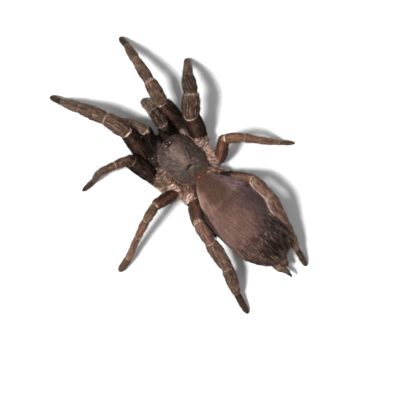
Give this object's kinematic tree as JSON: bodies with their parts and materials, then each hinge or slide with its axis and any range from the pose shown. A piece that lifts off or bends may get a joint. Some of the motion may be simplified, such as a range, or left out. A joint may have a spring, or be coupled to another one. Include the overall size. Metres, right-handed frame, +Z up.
{
  "type": "tarantula model",
  "caption": "Life-size standing tarantula with oval shield, folded fangs, velvet abdomen and splayed hairy legs.",
  "frame": {"origin": "on the floor, at the middle of the bounding box's base", "axes": "+Z up, the head faces -Y, the animal's right side is at -X"},
  "size_m": [0.0774, 0.108, 0.0196],
  "materials": {
    "carapace": "fine grey-brown hair lying flat over dark shell, dull satin",
    "chelicerae": "dark grey-brown hair over shell",
    "fangs": "polished black-brown horn",
    "eyes": "glossy dark domes on a dark tubercle",
    "abdomen": "coppery pinkish-brown velvet, darker and clumped towards the rear",
    "spinnerets": "brown hair with pale joints",
    "underside": "dark brown short hair",
    "coxae": "pinkish-beige hair over wrinkled brown skin",
    "legs": "brown hair with pale lines and pale joint rings",
    "feet": "dark brown hair, densest under the feet"
  },
  "bodies": {
    "root": {"abdomen": "abdomen", "carapace": "carapace", "chelicera_left": "chelicerae", "chelicera_right": "chelicerae", "eye_tubercle": "eyes", "fang_left": "fangs", "fang_right": "fangs", "leg_1_left_coxa": "coxae", "leg_1_left_femur": "legs", "leg_1_left_foot": "feet", "leg_1_left_patella": "legs", "leg_1_left_tibia": "legs", "leg_1_right_coxa": "coxae", "leg_1_right_femur": "legs", "leg_1_right_foot": "feet", "leg_1_right_patella": "legs", "leg_1_right_tibia": "legs", "leg_2_left_coxa": "coxae", "leg_2_left_femur": "legs", "leg_2_left_foot": "feet", "leg_2_left_patella": "legs", "leg_2_left_tibia": "legs", "leg_2_right_coxa": "coxae", "leg_2_right_femur": "legs", "leg_2_right_foot": "feet", "leg_2_right_patella": "legs", "leg_2_right_tibia": "legs", "leg_3_left_coxa": "coxae", "leg_3_left_femur": "legs", "leg_3_left_foot": "feet", "leg_3_left_patella": "legs", "leg_3_left_tibia": "legs", "leg_3_right_coxa": "coxae", "leg_3_right_femur": "legs", "leg_3_right_foot": "feet", "leg_3_right_patella": "legs", "leg_3_right_tibia": "legs", "leg_4_left_coxa": "coxae", "leg_4_left_femur": "legs", "leg_4_left_foot": "feet", "leg_4_left_patella": "legs", "leg_4_left_tibia": "legs", "leg_4_right_coxa": "coxae", "leg_4_right_femur": "legs", "leg_4_right_foot": "feet", "leg_4_right_patella": "legs", "leg_4_right_tibia": "legs", "palp_left_coxa": "coxae", "palp_left_femur": "legs", "palp_left_foot": "feet", "palp_left_patella": "legs", "palp_right_coxa": "coxae", "palp_right_femur": "legs", "palp_right_foot": "feet", "palp_right_patella": "legs", "pedicel": "underside", "spinneret_left": "spinnerets", "spinneret_right": "spinnerets", "sternum": "underside"}
  },
  "joints": []
}
